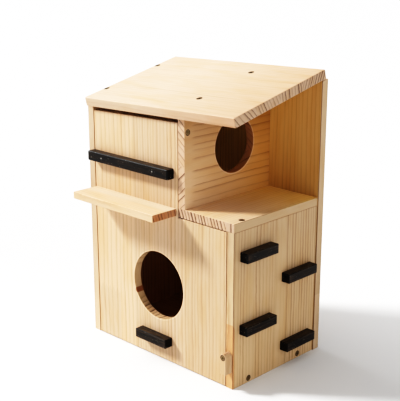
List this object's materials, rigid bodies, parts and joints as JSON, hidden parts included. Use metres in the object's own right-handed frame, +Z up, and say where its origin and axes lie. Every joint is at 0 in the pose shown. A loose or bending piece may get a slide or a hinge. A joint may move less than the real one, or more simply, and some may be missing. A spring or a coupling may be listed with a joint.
{
  "type": "squirrel feeder box",
  "caption": "Two-level wooden feeder and nest box with a sloping roof, an open porch, a top-hung front door, climbing perches and a turn button.",
  "frame": {"origin": "centre of the box's footprint, on the ground", "axes": "+X to the right of the front, +Y to the rear, +Z up"},
  "size_m": [0.291, 0.222, 0.4002],
  "materials": {
    "pine": "bare sanded pine",
    "black_painted_wood": "satin black paint, slightly worn on the edges",
    "screw_metal": "dark bronze zinc",
    "nail_metal": "dull steel"
  },
  "bodies": {
    "box": {"left_side_board": "pine", "right_side_board": "pine", "back_board": "pine", "bottom_board": "pine", "platform_board": "pine", "divider_board": "pine", "roof_board": "pine", "roof_screws": "screw_metal", "bottom_board_screws": "screw_metal", "platform_screw": "screw_metal", "divider_foot_screws": "screw_metal", "back_board_screws": "screw_metal", "door_pivot_screws": "screw_metal", "turn_button_screw": "screw_metal", "side_perch_1": "black_painted_wood", "side_perch_2": "black_painted_wood", "side_perch_3": "black_painted_wood", "side_perch_4": "black_painted_wood", "side_perch_nails": "nail_metal"},
    "door": {"front_door": "pine", "door_ledge": "pine", "door_bar": "black_painted_wood", "front_perch": "black_painted_wood", "ledge_screws": "screw_metal", "door_bar_nails": "nail_metal", "front_perch_nails": "nail_metal"},
    "button": {"turn_button": "pine"}
  },
  "joints": [
    {"name": "door_hinge", "type": "hinge", "parent": "box", "child": "door", "pos_m": [0, -0.084, 0.3278], "axis": [-1, 0, 0], "range_deg": [0, 105]},
    {"name": "button_turn", "type": "hinge", "parent": "box", "child": "button", "pos_m": [0.1325, -0.0963, 0.0475], "axis": [0, 1, 0], "continuous": true}
  ]
}
